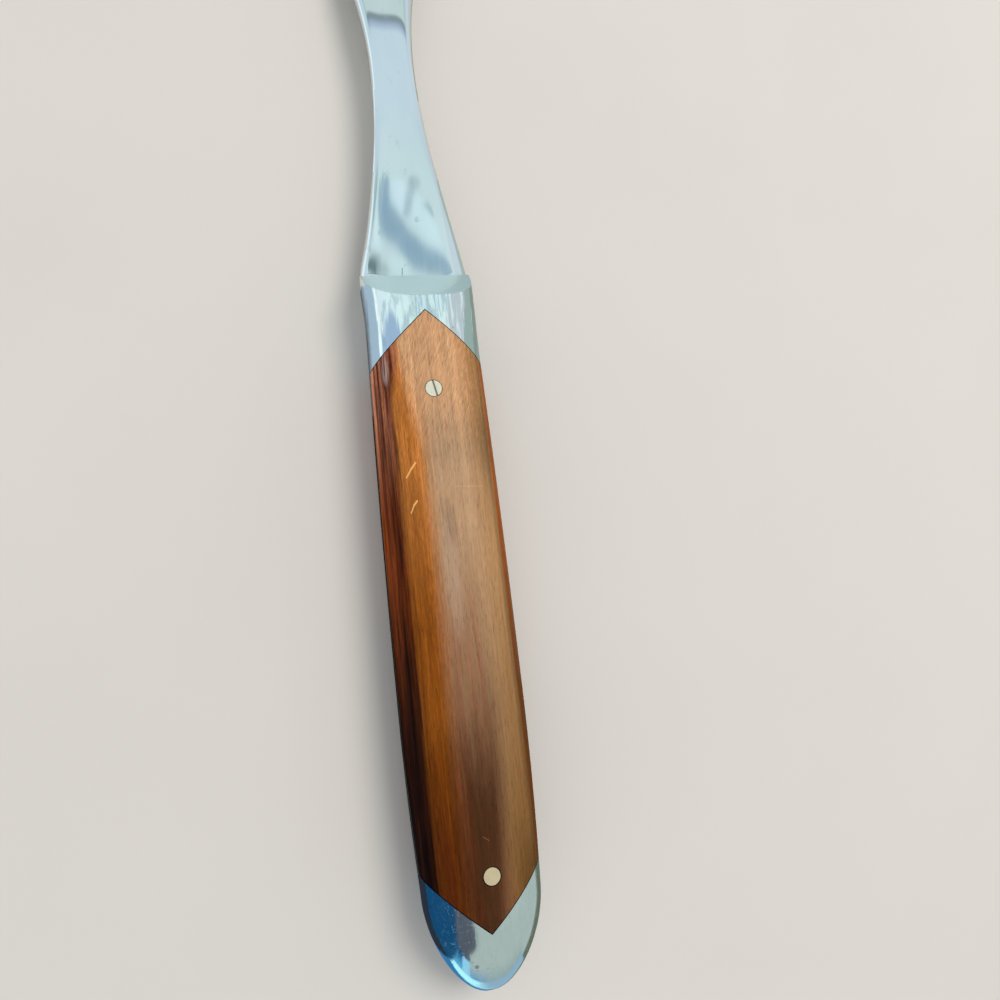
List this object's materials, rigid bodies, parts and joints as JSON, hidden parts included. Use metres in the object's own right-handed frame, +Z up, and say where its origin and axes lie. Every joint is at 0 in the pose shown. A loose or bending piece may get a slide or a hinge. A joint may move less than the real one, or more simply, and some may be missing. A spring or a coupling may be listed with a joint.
{
  "type": "carving fork",
  "caption": "Carving fork with long curved tines on a tapering steel shank, a full tang, polished bolsters and wooden scales with V-shaped ends held by flush pins.",
  "frame": {"origin": "on the resting surface, at the middle of the fork's length and width", "axes": "+X from the butt towards the tips of the tines, +Y across the handle, +Z up from the resting surface"},
  "size_m": [0.3, 0.0228, 0.0161],
  "materials": {
    "fork_steel": "mirror-polished stainless steel",
    "bolster_steel": "polished stainless steel with fine lengthwise scratches",
    "scale_wood": "oiled rosewood-like hardwood with dark stripes",
    "pin_metal": "nickel silver, ground flush",
    "dowel_steel": "plain drawn rod"
  },
  "bodies": {
    "root": {"fork": "fork_steel", "front_bolster_top": "bolster_steel", "front_bolster_bottom": "bolster_steel", "rear_bolster_top": "bolster_steel", "rear_bolster_bottom": "bolster_steel", "scale_top": "scale_wood", "scale_bottom": "scale_wood", "front_scale_pin": "pin_metal", "rear_scale_pin": "pin_metal", "front_bolster_dowel_left": "dowel_steel", "front_bolster_dowel_right": "dowel_steel", "rear_bolster_dowel_left": "dowel_steel", "rear_bolster_dowel_right": "dowel_steel"}
  },
  "joints": []
}
